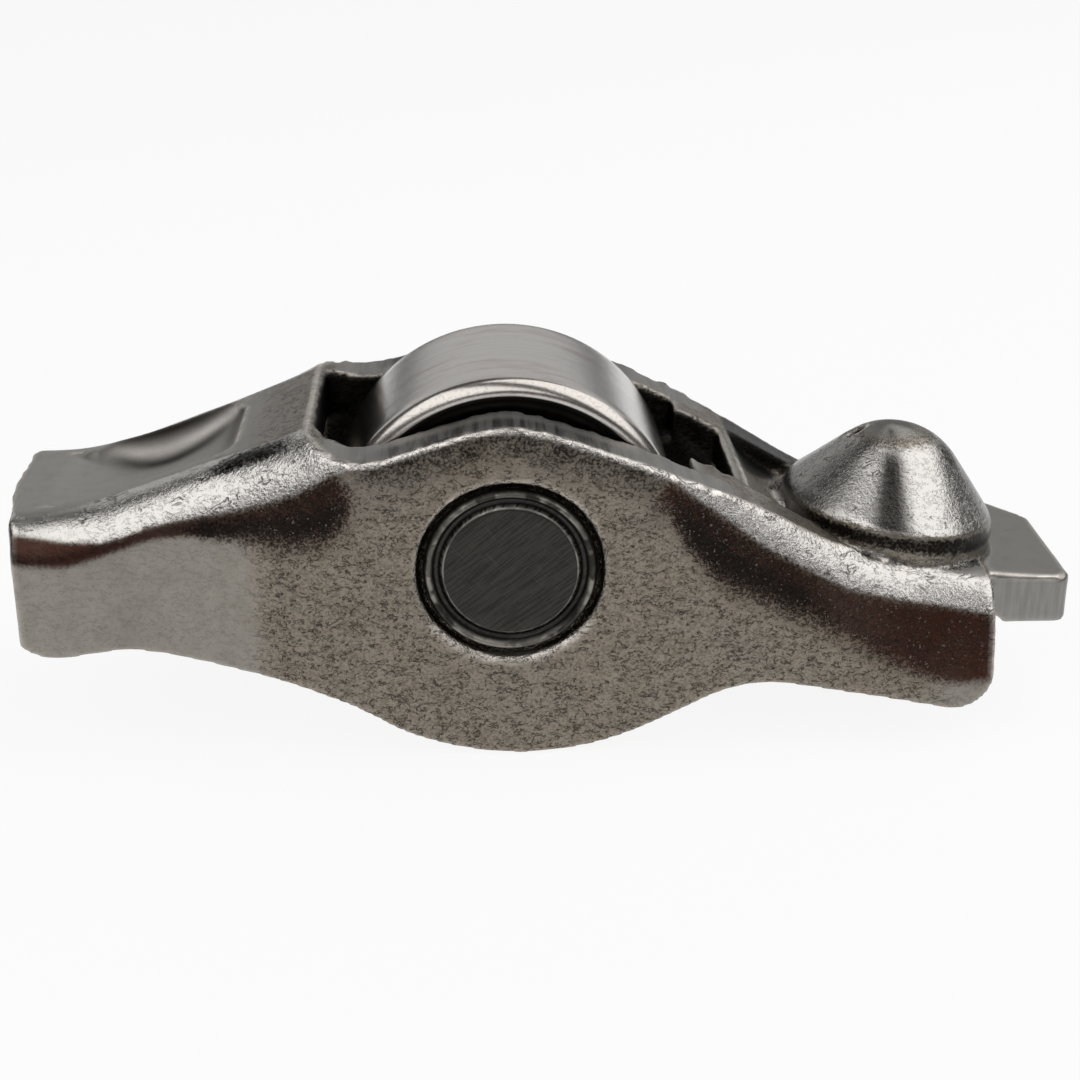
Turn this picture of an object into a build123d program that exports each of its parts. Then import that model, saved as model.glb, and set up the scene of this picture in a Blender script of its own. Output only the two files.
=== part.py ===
from build123d import *
import math
import os

os.makedirs("parts", exist_ok=True)

# Roller finger follower: a pressed sheet-steel channel that carries a needle roller on a staked axle.
# Millimetres. Origin on the roller axis, +X towards the pivot dome, +Z up, the axle lies along Y.

# ---- sheet and channel ----
SHEET = 3.0                 # thickness of the pressed sheet
WALL_HALF = 9.05            # half width over the walls beside the roller
VALVE_HALF = 7.5            # half width over the walls at the valve end
PIVOT_HALF = 8.8            # half width over the walls at the pivot end
GAP_HALF = WALL_HALF - SHEET
VALVE_FLARE = (-19.5, -11.2)    # the gap widens between these stations
PIVOT_FLARE = (10.4, 13.2)      # and narrows again between these
GAP_BEND_R = 1.2            # bends of the inner wall faces in plan
INNER_BEND_R = 0.9          # inside radius between the web and the walls
VALVE_END_X = -28.6         # end of the web at the valve end
VALVE_END_SQUARE = (-0.5, 5.5)  # the end is square between these; beyond them it slants back
VALVE_WALL_BACK = 1.0       # the wall ends stand back from the web end by this
PIVOT_END_X = 27.7          # end of the walls at the pivot end

# ---- roller, needles and axle ----
ROLLER_R = 10.0
AXLE_R = 4.5
NEEDLE_D = 2.0
NEEDLE_GAP = 0.02           # least space between two needles
RUNNING = 0.015             # radial running clearance at each side of a needle
NEEDLE_ORBIT_R = AXLE_R + RUNNING + NEEDLE_D / 2
NEEDLE_COUNT = math.floor(math.pi / math.asin((NEEDLE_D + NEEDLE_GAP) / 2 / NEEDLE_ORBIT_R))
NEEDLE_END_PLAY = 0.55      # from a needle's end to the wall
NEEDLE_LENGTH = 2 * (GAP_HALF - NEEDLE_END_PLAY)
ROLLER_BORE_R = NEEDLE_ORBIT_R + NEEDLE_D / 2 + RUNNING
ROLLER_SIDE_CLEARANCE = 0.3
ROLLER_HALF = GAP_HALF - ROLLER_SIDE_CLEARANCE
ROLLER_RIM_R = 0.85
ROLLER_BORE_CHAMFER = 0.35
SEAT_R = AXLE_R + 0.7       # countersink round the axle
SEAT_DEPTH = 0.9
STAKE_R = AXLE_R + 0.35     # the axle end spread into the countersink
STAKE_BACK = 0.55           # the spread part starts this far inside the wall face
STAKE_CREST_R = AXLE_R + 0.05
STAKE_CREST_DROP = 0.05     # crest of the staking below the wall face
GROOVE_OUT_R = AXLE_R - 0.25
GROOVE_IN_R = AXLE_R - 0.5
GROOVE_DEEP = 0.5
LAND_R = AXLE_R - 0.7
LAND_DROP = 0.2             # flat centre of the axle end below the wall face
LAND_CHAMFER = 0.18

# ---- outer cross-sections: station, web height, half width, bend across, bend down ----
SECTIONS = [
    (-30.0, 2.40, VALVE_HALF, 3.5, 3.1),
    (-24.5, 2.70, VALVE_HALF, 3.3, 2.8),
    (-20.5, 3.80, VALVE_HALF, 3.0, 2.7),
    (-16.5, 5.25, 7.80, 3.1, 3.5),
    (-13.0, 6.55, 8.50, 3.4, 4.2),
    (-10.0, 8.00, WALL_HALF, 3.4, 4.0),
    (-5.5, 11.30, WALL_HALF, 3.3, 3.2),
    (0.0, 13.00, WALL_HALF, 3.3, 3.2),
    (5.5, 11.20, WALL_HALF, 3.3, 3.8),
    (10.0, 7.40, WALL_HALF, 3.3, 4.8),
    (13.0, 4.90, 8.86, 3.3, 5.0),
    (16.5, 2.20, PIVOT_HALF, 3.2, 5.5),
    (20.0, 0.00, PIVOT_HALF, 3.1, 6.1),
    (24.0, -1.40, PIVOT_HALF, 3.0, 6.4),
    (29.0, -2.25, PIVOT_HALF, 3.0, 6.6),
]
SECTION_FLOOR = -14.0       # the sections run down to here before the lower edge is cut
BEZIER_ROUND = 0.5523       # handle length that makes a Bezier quarter an ellipse

# ---- lower edge of the walls ----
LOWER_EDGE = [
    (VALVE_END_X, -5.45), (-25.0, -5.55), (-21.5, -5.15), (-18.6, -5.6), (-15.2, -6.3), (-11.9, -7.05),
    (-9.3, -8.05), (-6.4, -9.74), (-3.5, -10.9), (0.6, -11.45), (4.5, -11.0), (8.0, -9.7),
    (11.2, -8.1), (14.0, -7.4), (18.0, -7.85), (22.3, -8.7), (PIVOT_END_X, -9.6),
]
VALVE_CORNER_R = 2.9        # lower corner of the walls at the valve end
PIVOT_CORNER_R = 2.3        # lower corner of the walls at the pivot end

# ---- top edge sheared level across the walls beside the roller ----
SHEAR_LINE = [
    (-11.6, 7.60), (-10.5, 7.10), (-9.4, 6.70), (-7.4, 6.62), (-5.9, 7.00), (-3.2, 7.85), (0.0, 8.42),
    (2.7, 7.85), (4.8, 7.10), (7.0, 6.30), (9.2, 5.35), (12.7, 3.65), (16.3, 1.60), (18.6, 0.35),
    (21.0, -0.30),
]

# ---- window over the roller ----
WINDOW_VALVE_X = -(ROLLER_R + 0.7)
WINDOW_STEP_X = ROLLER_R + 0.3      # beyond this the window is narrower
WINDOW_PIVOT_X = WINDOW_STEP_X + 2.6
WINDOW_NECK_HALF = GAP_HALF - 1.95
WINDOW_CORNER_R = 1.8
WINDOW_STEP_R = 0.5

# ---- hollow between the window lip and the dome: steps beyond the lip, and heights ----
LIP = 0.65                  # thickness of the lip left between window and hollow
HOLLOW_HALF = 4.6
HOLLOW_FLOOR = [
    (WINDOW_PIVOT_X + LIP + step, height) for step, height in
    ((0, 4.2), (0.2, 3.0), (1.05, 1.75), (2.45, 0.70), (4.05, 0.10), (7.25, -0.35))
]

# ---- valve end: recess pressed into the web and the pad it raises below ----
RECESS_HALF = 4.2
RECESS_CORNER_R = 2.4
RECESS_FLOOR = [(-27.2, 2.75), (-24.5, 2.25), (-21.0, 2.65), (-18.0, 3.70), (-15.9, 4.90), (-15.1, 6.2)]
RECESS_DISH_R = 8.2         # the recess is hollowed by a cylinder of this radius along the slope
RECESS_SLOPE = 17.7         # degrees that this cylinder climbs towards the roller
RECESS_MID = (-20.5, 2.90)  # a point on its lowest line
PAD_X = -21.0               # crown of the pad
PAD_CROWN_Z = -1.35         # lowest line of the pad
PAD_RADIUS = 14.0           # the pad is part of a cylinder that lies along Y
PAD_HALF_LENGTH = 6.0
PAD_DEPTH = 4.6             # height of the block that the pad is cut from

# ---- tongue beyond the pivot end ----
TONGUE_ROOT_X = 24.0
TONGUE_END_X = 32.8
TONGUE_TOP = [(TONGUE_ROOT_X, -1.5), (28.5, -2.35), (33.5, -2.6)]
TONGUE_NEAR_HALF = 5.2      # the side towards -Y is straight
TONGUE_FAR_HALF = 6.2       # the other side is cut off at its corner
TONGUE_CUT_X = 30.7         # the cut starts here
TONGUE_CUT_HALF = 3.8       # and leaves this much at the end
TONGUE_CORNER_R = 0.7

# ---- pivot dome and ball socket ----
DOME_X = 22.7
DOME_Z = -0.75              # height of the foot plane on the dome axis
DOME_TILT = 9.5             # degrees that the dome leans with the web
DOME_FOOT_R = 6.35
DOME_HEIGHT = 5.85
DOME_CROWN_R = 4.6
DOME_SHOULDER_R = 1.5       # round where the flank turns down to the foot
DOME_SHOULDER_Z = 0.6       # height of the centre of that round above the foot plane
DOME_SKIRT = 1.8            # the dome carries on this far below the foot plane
MOAT_WIDTH = 0.6            # groove pressed round the foot
MOAT_DEPTH = 0.3
MOAT_R = 0.45
SOCKET_R = 3.9              # seat of the ball
SOCKET_ROOF = 1.75          # metal left over the ball
SOCKET_MOUTH_R = 4.7
OIL_HOLE_D = 1.3
OIL_HOLE_TILT = -38.0       # degrees from the dome axis, towards the roller
OIL_HOLE_Y = 0.9

# ---- construction ----
TALL = max(top for _, top, *_ in SECTIONS) + 2  # reaches past the highest point
WIDE = WALL_HALF + 2                # reaches past the widest point
FAR_SIDE = Plane.XZ.offset(-WIDE)   # side views are drawn here and extruded right through


def below(line, distance):
    """Points a distance under a line of (x, z) points, square to its slope."""
    lowered = []
    for before, (x, z), after in zip(line, line[1:], line[2:]):
        slope = math.atan2(after[1] - before[1], after[0] - before[0])
        lowered.append((x + distance * math.sin(slope), z - distance * math.cos(slope)))
    return lowered


# ---- formed channel ----
with BuildPart() as formed:
    for x, top, half, across, down in SECTIONS:
        with BuildSketch(Plane.YZ.offset(x)):
            with BuildLine():
                bend_y, bend_z = half - across, top - down
                Line((-half, SECTION_FLOOR), (-half, bend_z))
                Bezier(
                    (-half, bend_z), (-half, bend_z + BEZIER_ROUND * down),
                    (-bend_y - BEZIER_ROUND * across, top), (-bend_y, top),
                )
                Line((-bend_y, top), (bend_y, top))
                Bezier(
                    (bend_y, top), (bend_y + BEZIER_ROUND * across, top),
                    (half, bend_z + BEZIER_ROUND * down), (half, bend_z),
                )
                Line((half, bend_z), (half, SECTION_FLOOR))
                Line((half, SECTION_FLOOR), (-half, SECTION_FLOOR))
            make_face()
    loft()

# ---- the lower edge and both ends, seen from the side ----
with BuildPart() as side_blank:
    with BuildSketch(FAR_SIDE):
        with BuildLine():
            Spline(*LOWER_EDGE)
            Polyline(LOWER_EDGE[-1], (PIVOT_END_X, TALL), (VALVE_END_X, TALL), LOWER_EDGE[0])
        make_face()
    extrude(amount=2 * WIDE)
    for end_x, corner_r in ((VALVE_END_X, VALVE_CORNER_R), (PIVOT_END_X, PIVOT_CORNER_R)):
        corner = side_blank.edges().filter_by(
            lambda e: abs(e.center().X - end_x) < 0.01 and e.center().Z < 0 and e.length > WIDE)
        fillet(corner.sort_by(Axis.Z)[0], corner_r)

# ---- plan of the ends and of the flat walls beside the roller ----
with BuildPart() as plan_blank:
    with BuildSketch(Plane.XY.offset(-TALL)):
        with BuildLine():
            wall_x = VALVE_END_X + VALVE_WALL_BACK
            near_square, far_square = VALVE_END_SQUARE
            Polyline(
                (VALVE_END_X, near_square), (wall_x, -VALVE_HALF), (wall_x, -WALL_HALF),
                (PIVOT_END_X, -WALL_HALF), (PIVOT_END_X, WALL_HALF), (wall_x, WALL_HALF),
                (wall_x, VALVE_HALF), (VALVE_END_X, far_square), close=True,
            )
        make_face()
    extrude(amount=2 * TALL)

# ---- pad for the valve tip, right across between the walls ----
with BuildPart() as pad:
    with BuildSketch(FAR_SIDE):
        with Locations((PAD_X, PAD_CROWN_Z + PAD_RADIUS)):
            Circle(PAD_RADIUS)
        with Locations((PAD_X, PAD_CROWN_Z)):
            Rectangle(2 * PAD_HALF_LENGTH, PAD_DEPTH, align=(Align.CENTER, Align.MIN), mode=Mode.INTERSECT)
    extrude(amount=2 * WIDE)

# ---- inside of the channel, less the pad that stands in it ----
with BuildPart() as channel:
    with BuildSketch(Plane.XY.offset(-TALL)):
        valve_gap, pivot_gap = VALVE_HALF - SHEET, PIVOT_HALF - SHEET
        half_plan = [
            (2 * VALVE_END_X, valve_gap), (VALVE_FLARE[0], valve_gap), (VALVE_FLARE[1], GAP_HALF),
            (PIVOT_FLARE[0], GAP_HALF), (PIVOT_FLARE[1], pivot_gap), (2 * PIVOT_END_X, pivot_gap),
        ]
        mirrored = [(x, -y) for x, y in reversed(half_plan)]
        with BuildLine():
            FilletPolyline(*(half_plan + mirrored), radius=GAP_BEND_R, close=True)
        make_face()
    extrude(amount=2 * TALL)
    with BuildSketch(FAR_SIDE):
        with BuildLine():
            web_top = [(x, top) for x, top, *_ in SECTIONS]
            start, end = (2 * VALVE_END_X, web_top[0][1]), (2 * PIVOT_END_X, web_top[-1][1])
            underside = below([start, *web_top, end], SHEET)
            Spline(*underside)
            Polyline(underside[-1], (underside[-1][0], -TALL), (underside[0][0], -TALL), underside[0])
        make_face()
    extrude(amount=2 * WIDE, mode=Mode.INTERSECT)
    under_web = channel.faces().sort_by(Axis.Z)[-1]
    inner_bends = under_web.edges().filter_by(lambda e: abs(e.center().Y) > PIVOT_HALF - 2 * SHEET)
    fillet(inner_bends, INNER_BEND_R)
    add(pad.part, mode=Mode.SUBTRACT)

# ---- metal above the sheared edge ----
with BuildPart() as shear:
    with BuildSketch(FAR_SIDE):
        with BuildLine():
            Spline(*SHEAR_LINE)
            Polyline(SHEAR_LINE[-1], (SHEAR_LINE[-1][0], TALL), (SHEAR_LINE[0][0], TALL), SHEAR_LINE[0])
        make_face()
    extrude(amount=2 * WIDE)

# ---- window ----
with BuildPart() as window:
    with BuildSketch(Plane.XY):
        with BuildLine():
            Polyline(
                (WINDOW_VALVE_X, -GAP_HALF), (WINDOW_STEP_X, -GAP_HALF), (WINDOW_STEP_X, -WINDOW_NECK_HALF),
                (WINDOW_PIVOT_X, -WINDOW_NECK_HALF), (WINDOW_PIVOT_X, WINDOW_NECK_HALF),
                (WINDOW_STEP_X, WINDOW_NECK_HALF), (WINDOW_STEP_X, GAP_HALF), (WINDOW_VALVE_X, GAP_HALF),
                close=True,
            )
        make_face()
    extrude(amount=TALL)
    upright = window.edges().filter_by(Axis.Z).sort_by(Axis.X)
    fillet(upright[:2], WINDOW_CORNER_R)
    fillet(window.edges().filter_by(Axis.Z).sort_by(Axis.X)[-2:], WINDOW_STEP_R)

# ---- hollow before the dome ----
with BuildPart() as hollow:
    with BuildSketch(Plane.XZ.offset(-HOLLOW_HALF)):
        with BuildLine():
            Spline(*HOLLOW_FLOOR)
            Polyline(HOLLOW_FLOOR[-1], (HOLLOW_FLOOR[-1][0], TALL), (HOLLOW_FLOOR[0][0], TALL), HOLLOW_FLOOR[0])
        make_face()
    extrude(amount=2 * HOLLOW_HALF)

# ---- recess in the web at the valve end ----
slope = math.radians(RECESS_SLOPE)
dish_top = (
    RECESS_MID[0] - RECESS_DISH_R * math.sin(slope), 0, RECESS_MID[1] + RECESS_DISH_R * math.cos(slope),
)
with BuildPart() as recess:
    with BuildSketch(Plane.XZ.offset(-RECESS_HALF)):
        with BuildLine():
            Spline(*RECESS_FLOOR)
            Polyline(RECESS_FLOOR[-1], (RECESS_FLOOR[-1][0], TALL), (RECESS_FLOOR[0][0], TALL), RECESS_FLOOR[0])
        make_face()
    extrude(amount=2 * RECESS_HALF)
    inner_corners = recess.edges().filter_by(Axis.Z).sort_by(Axis.X)[-2:]
    fillet(inner_corners, RECESS_CORNER_R)
    with BuildSketch(Plane(origin=dish_top, x_dir=(0, 1, 0), z_dir=(math.cos(slope), 0, math.sin(slope)))):
        Circle(RECESS_DISH_R)
    extrude(amount=2 * WIDE, both=True, mode=Mode.INTERSECT)

# ---- tongue ----
with BuildPart() as tongue:
    with BuildSketch(FAR_SIDE):
        with BuildLine():
            Spline(*TONGUE_TOP)
            low = TONGUE_TOP[-1][1] - SHEET
            Polyline(TONGUE_TOP[-1], (TONGUE_TOP[-1][0], low), (TONGUE_ROOT_X, low), TONGUE_TOP[0])
        make_face()
    extrude(amount=2 * WIDE)
    with BuildSketch(Plane.XY.offset(-TALL)):
        with BuildLine():
            Polyline(
                (TONGUE_ROOT_X, -TONGUE_NEAR_HALF), (TONGUE_END_X, -TONGUE_NEAR_HALF),
                (TONGUE_END_X, TONGUE_CUT_HALF), (TONGUE_CUT_X, TONGUE_FAR_HALF),
                (TONGUE_ROOT_X, TONGUE_FAR_HALF), close=True,
            )
        make_face()
    extrude(amount=2 * TALL, mode=Mode.INTERSECT)
    end_corners = tongue.edges().filter_by(Axis.Z).sort_by(Axis.X)[-3:]
    fillet(end_corners, TONGUE_CORNER_R)

# ---- pivot dome, turned about its own axis ----
lean = math.radians(DOME_TILT)
dome_frame = Plane(
    origin=(DOME_X, 0, DOME_Z), x_dir=(math.cos(lean), 0, -math.sin(lean)),
    z_dir=(math.sin(lean), 0, math.cos(lean)),
)
dome_side = Plane(origin=dome_frame.origin, x_dir=dome_frame.x_dir, z_dir=(0, -1, 0))
dome_axis = Axis(dome_frame.origin, dome_frame.z_dir)


def on_round(centre, radius, angle):
    """The point of a circle at an angle from the horizontal."""
    return (centre[0] + radius * math.cos(angle), centre[1] + radius * math.sin(angle))


# the flank touches the crown round and the shoulder round
crown_z = DOME_HEIGHT - DOME_CROWN_R
shoulder = (DOME_FOOT_R - DOME_SHOULDER_R, DOME_SHOULDER_Z)
apart = math.hypot(shoulder[0], shoulder[1] - crown_z)
flank = math.atan2(shoulder[1] - crown_z, shoulder[0]) + math.acos((DOME_CROWN_R - DOME_SHOULDER_R) / apart)
with BuildPart() as dome:
    with BuildSketch(dome_side):
        with BuildLine():
            touch = on_round((0, crown_z), DOME_CROWN_R, flank)
            middle = on_round((0, crown_z), DOME_CROWN_R, (flank + math.pi / 2) / 2)
            ThreePointArc((0, DOME_HEIGHT), middle, touch)
            turn = on_round(shoulder, DOME_SHOULDER_R, flank)
            Line(touch, turn)
            foot = (DOME_FOOT_R, DOME_SHOULDER_Z)
            ThreePointArc(turn, on_round(shoulder, DOME_SHOULDER_R, flank / 2), foot)
            Polyline(foot, (DOME_FOOT_R, -DOME_SKIRT), (0, -DOME_SKIRT), (0, DOME_HEIGHT))
        make_face()
    revolve(axis=dome_axis)

# ---- groove round the foot of the dome, open above ----
with BuildPart() as moat:
    with BuildSketch(dome_side):
        with BuildLine():
            moat_r = DOME_FOOT_R + MOAT_WIDTH
            FilletPolyline(
                (0, -MOAT_DEPTH), (moat_r, -MOAT_DEPTH), (moat_r, DOME_HEIGHT), (0, DOME_HEIGHT), radius=MOAT_R)
            Line((0, DOME_HEIGHT), (0, -MOAT_DEPTH))
        make_face()
    revolve(axis=dome_axis)

socket_z = DOME_HEIGHT - SOCKET_ROOF - SOCKET_R
with BuildPart() as socket:
    with BuildSketch(dome_side):
        with BuildLine():
            half_way = SOCKET_R * math.sqrt(0.5)
            ThreePointArc((0, socket_z + SOCKET_R), (half_way, socket_z + half_way), (SOCKET_R, socket_z))
            Polyline(
                (SOCKET_R, socket_z), (SOCKET_MOUTH_R, -SHEET), (SOCKET_MOUTH_R, -SHEET - 4),
                (0, -SHEET - 4), (0, socket_z + SOCKET_R),
            )
        make_face()
    revolve(axis=dome_axis)

oil_axis = math.radians(OIL_HOLE_TILT + DOME_TILT)
crown_centre = dome_frame.from_local_coords(Vector(0, 0, crown_z))
with BuildPart() as oil_hole:
    with BuildSketch(Plane(
        origin=(crown_centre.X, OIL_HOLE_Y, crown_centre.Z), x_dir=(0, 1, 0),
        z_dir=(math.sin(oil_axis), 0, math.cos(oil_axis)),
    )):
        Circle(OIL_HOLE_D / 2)
    extrude(amount=2 * DOME_CROWN_R)

# ---- the arm ----
with BuildPart() as arm_body:
    add(formed.part)
    add(side_blank.part, mode=Mode.INTERSECT)
    add(plan_blank.part, mode=Mode.INTERSECT)
    add(shear.part, mode=Mode.SUBTRACT)
    add(recess.part, mode=Mode.SUBTRACT)
    add(hollow.part, mode=Mode.SUBTRACT)
    add(tongue.part)
    add(moat.part, mode=Mode.SUBTRACT)
    add(channel.part, mode=Mode.SUBTRACT)
    add(dome.part)
    add(window.part, mode=Mode.SUBTRACT)
    add(socket.part, mode=Mode.SUBTRACT)
    add(oil_hole.part, mode=Mode.SUBTRACT)
    with BuildSketch(FAR_SIDE):
        Circle(AXLE_R)
    extrude(amount=2 * WIDE, mode=Mode.SUBTRACT)
    for side in (-1, 1):
        with BuildSketch(Plane.XZ.offset(-side * (WALL_HALF - SEAT_DEPTH))):
            Circle(SEAT_R)
        extrude(amount=-side * 3 * SEAT_DEPTH, mode=Mode.SUBTRACT)

arm_body.part.label = "arm_body"
export_step(arm_body.part, "parts/arm_body.step")

# ---- axle, staked at both ends ----
with BuildPart() as roller_axle:
    with BuildSketch(Plane.XY):
        with BuildLine():
            crest = WALL_HALF - STAKE_CREST_DROP
            back = WALL_HALF - STAKE_BACK
            land = WALL_HALF - LAND_DROP
            half_profile = [
                (AXLE_R, 0), (AXLE_R, back - (STAKE_R - AXLE_R)), (STAKE_R, back), (STAKE_CREST_R, crest),
                (GROOVE_OUT_R, crest - GROOVE_DEEP), (GROOVE_IN_R, crest - GROOVE_DEEP),
                (LAND_R, land - LAND_CHAMFER), (LAND_R - LAND_CHAMFER, land), (0, land),
            ]
            other_half = [(x, -y) for x, y in reversed(half_profile[1:])]
            Polyline(*(half_profile + other_half), close=True)
        make_face()
    revolve(axis=Axis.Y)
roller_axle.part.label = "roller_axle"
export_step(roller_axle.part, "parts/roller_axle.step")

# ---- roller ----
with BuildPart() as roller:
    with BuildSketch(Plane.XY):
        with BuildLine():
            bore_y, flare_r = ROLLER_HALF - ROLLER_BORE_CHAMFER, ROLLER_BORE_R + ROLLER_BORE_CHAMFER
            Polyline(
                (ROLLER_R, ROLLER_HALF), (flare_r, ROLLER_HALF), (ROLLER_BORE_R, bore_y),
                (ROLLER_BORE_R, -bore_y), (flare_r, -ROLLER_HALF), (ROLLER_R, -ROLLER_HALF), close=True,
            )
        make_face()
    revolve(axis=Axis.Y)
    circles = roller.edges().filter_by(GeomType.CIRCLE)
    fillet(circles.filter_by(lambda e: e.radius > ROLLER_R - ROLLER_RIM_R), ROLLER_RIM_R)
roller.part.label = "roller"
export_step(roller.part, "parts/roller.step")

# ---- needles, a full row round the axle ----
for number in range(NEEDLE_COUNT):
    angle = 2 * math.pi * (number + 0.5) / NEEDLE_COUNT
    centre = (NEEDLE_ORBIT_R * math.sin(angle), NEEDLE_LENGTH / 2, NEEDLE_ORBIT_R * math.cos(angle))
    with BuildPart() as needle:
        with BuildSketch(Plane(origin=centre, x_dir=(1, 0, 0), z_dir=(0, -1, 0))):
            Circle(NEEDLE_D / 2)
        extrude(amount=NEEDLE_LENGTH)
    needle.part.label = f"needle_{number + 1:02d}"
    export_step(needle.part, f"parts/needle_{number + 1:02d}.step")
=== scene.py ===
"""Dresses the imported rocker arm: pressed steel body, roller, staked axle, needles, plain studio."""

import math

import bmesh
import bpy
import numpy as np
from bpy.props import FloatProperty, FloatVectorProperty, IntProperty, PointerProperty
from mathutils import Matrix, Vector, noise
from mathutils.bvhtree import BVHTree
from mathutils.kdtree import KDTree


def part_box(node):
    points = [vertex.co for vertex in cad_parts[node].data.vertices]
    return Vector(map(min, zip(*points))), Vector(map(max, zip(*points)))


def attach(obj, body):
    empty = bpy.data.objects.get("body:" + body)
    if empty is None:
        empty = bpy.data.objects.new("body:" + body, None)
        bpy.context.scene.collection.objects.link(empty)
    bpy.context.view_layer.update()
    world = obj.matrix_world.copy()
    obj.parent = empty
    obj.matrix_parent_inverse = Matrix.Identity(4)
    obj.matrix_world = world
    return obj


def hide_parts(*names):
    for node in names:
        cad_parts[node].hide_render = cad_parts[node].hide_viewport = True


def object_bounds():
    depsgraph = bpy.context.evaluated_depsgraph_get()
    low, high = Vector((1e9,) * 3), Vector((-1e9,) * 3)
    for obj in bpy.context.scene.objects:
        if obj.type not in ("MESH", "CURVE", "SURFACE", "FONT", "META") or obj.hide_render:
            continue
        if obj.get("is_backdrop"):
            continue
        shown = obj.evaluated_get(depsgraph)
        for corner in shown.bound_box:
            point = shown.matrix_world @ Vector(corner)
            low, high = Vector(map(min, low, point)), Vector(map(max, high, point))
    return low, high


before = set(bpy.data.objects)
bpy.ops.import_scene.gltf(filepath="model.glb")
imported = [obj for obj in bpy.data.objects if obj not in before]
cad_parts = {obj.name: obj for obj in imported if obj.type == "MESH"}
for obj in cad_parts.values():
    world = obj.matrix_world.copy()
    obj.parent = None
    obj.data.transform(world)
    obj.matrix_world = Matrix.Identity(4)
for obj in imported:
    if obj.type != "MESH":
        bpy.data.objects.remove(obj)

bl_info = {
    "name": "Rocker arm dressing",
    "version": (1, 0, 0),
    "blender": (4, 5, 0),
    "location": "View3D > Sidebar > Rocker arm",
    "description": "Builds the finished surfaces of a roller rocker arm and its studio",
    "category": "Object",
}

MM = 0.001
ROLLER_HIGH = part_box("roller")[1]
AXLE_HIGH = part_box("roller_axle")[1]
NEEDLES = sorted(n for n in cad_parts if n.startswith("needle_"))
NEEDLE_LOW, NEEDLE_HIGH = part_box("needle_01")

# Places on the pressed arm, in millimetres from the roller's middle: x along, y across, z up.
# A START or END pair says between which two places a mask fades in or out.
DOME_X = 22.7                   # middle of the pivot dome
DOME_FOOT_Z = -0.75             # height of the plane of its foot there
DOME_FOOT_FALL = 0.167          # how steeply that plane falls towards the tongue
DOME_SKIRT = (6.75, 7.05)       # radii at which the groove round the foot runs out
OIL_HOLE = (20.9, 0.9, 3.6)
FLAT_X = -0.5                   # middle of the flat wall round the axle
SEAT_RING = 5.38                # radius of the ring round the axle's countersink, painted with a highlight on its lower part
WALL_END_X = 27.7               # where the walls stop
TONGUE_START = (28.0, 28.4)
INNER_HALF = 6.2                # just past the inner faces of the walls
WINDOW_START = (-11.2, -10.9)   # the window's end towards the valve
WINDOW_END = 13.4               # just past its end towards the dome
HOLLOW_START = (13.5, 13.7)     # dark hollow between the window and the dome
HOLLOW_END = (18.0, 19.5)
HOLLOW_SLANT = (13.4, 1.1)      # where its slanting border starts, and the slope of that
RECESS_START = (-25.6, -24.6)   # marks in the recess of the web at the valve end
RECESS_END = (-15.4, -14.9)
RECESS_HALF = 4.7               # half the width that they cover
RECESS_WALL = 4.1               # far wall of the recess
RECESS_BOW = (-24.4, 9.2)       # start and length of that wall's bow
RECESS_SWELL = 0.45             # how far the metal swells up along it

# lines seen from the side, as (x, z) in millimetres
SHEAR_LINE = [      # sheared top of the walls
    (-11.6, 7.6), (-9.4, 6.7), (-5.9, 7.0), (0.0, 8.42), (4.8, 7.1), (9.2, 5.35), (12.7, 3.65),
    (16.3, 1.6), (21.0, -0.3)]
BAND_TOP = [        # where the painted highlight on the bends gives way to the painted shade under them
    (-28.0, 1.6), (-24.7, 1.3), (-22.5, 1.35), (-21.4, 1.65), (-19.8, 2.25), (-18.4, 2.6),
    (-17.0, 2.9), (-14.8, 3.35), (-13.1, 3.85), (-11.4, 4.55), (-10.3, 5.2), (-9.5, 5.8),
    (-7.0, 4.0), (7.0, 3.0), (8.6, 5.2), (9.9, 4.1), (11.8, 2.7), (13.9, 1.0), (16.2, -0.4),
    (19.1, -2.0), (22.0, -2.8), (24.9, -3.3), (28.0, -3.8)]
BAND_BOTTOM = [     # where the painted shade under the bends ends and the flat wall starts
    (-28.0, 0.2), (-24.7, 0.0), (-23.0, 0.5), (-21.3, 1.1), (-19.7, 1.65), (-18.0, 1.85),
    (-16.4, 1.75), (-14.8, 1.6), (-12.6, 1.4), (-11.0, 1.6), (-9.6, 2.0), (-7.0, 4.0),
    (7.0, 3.0), (8.6, 3.2), (9.9, 0.9), (11.7, -1.2), (13.9, -2.2), (16.3, -3.4), (19.2, -5.1),
    (21.0, -6.2), (23.4, -7.3), (25.7, -7.7), (28.0, -7.4)]
BLACKENED = [       # share of black in the painted shade under the bends, along the arm
    (-28.0, 0.5), (-26.0, 0.15), (-19.0, 0.15), (-16.5, 0.9), (-8.0, 0.9), (8.0, 0.5),
    (10.0, 1.0), (16.0, 0.9), (19.0, 0.4), (28.0, 0.2)]

# the turned pieces, in metres
ROLLER_BORE = 6.53 * MM
BORE_CHAMFER = 0.35 * MM
BORE_LAND = 0.6 * MM            # width of the plain face next to the bore
RIM_LIP = 0.06 * MM             # width of the plain face next to the rim's rounding

# the studio, in metres where nothing else is said
FLOOR_HALF = 4.0
FLOOR_GAP = 0.00002
PANELS = (                      # place, size, turn in degrees, which light of the settings
    ((-0.196, -0.436, 0.30), (0.52, 0.90), (0, 0, 26), "panel_light"),
    ((0.416, -0.144, 0.30), (0.52, 0.90), (0, 0, 37), "panel_light"),
    ((0.0, 0.60, 0.30), (1.30, 0.44), (-64, 0, 0), "back_light"),
)
CAMERA_PLACE = (-2.418, -100.143, 41.654)   # millimetres
CAMERA_AIM = (0.04049, 0.91595, -0.39924)   # the way it looks
SENSOR_WIDTH = 36.0             # millimetres


# ---------------------------------------------------------------- properties

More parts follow.
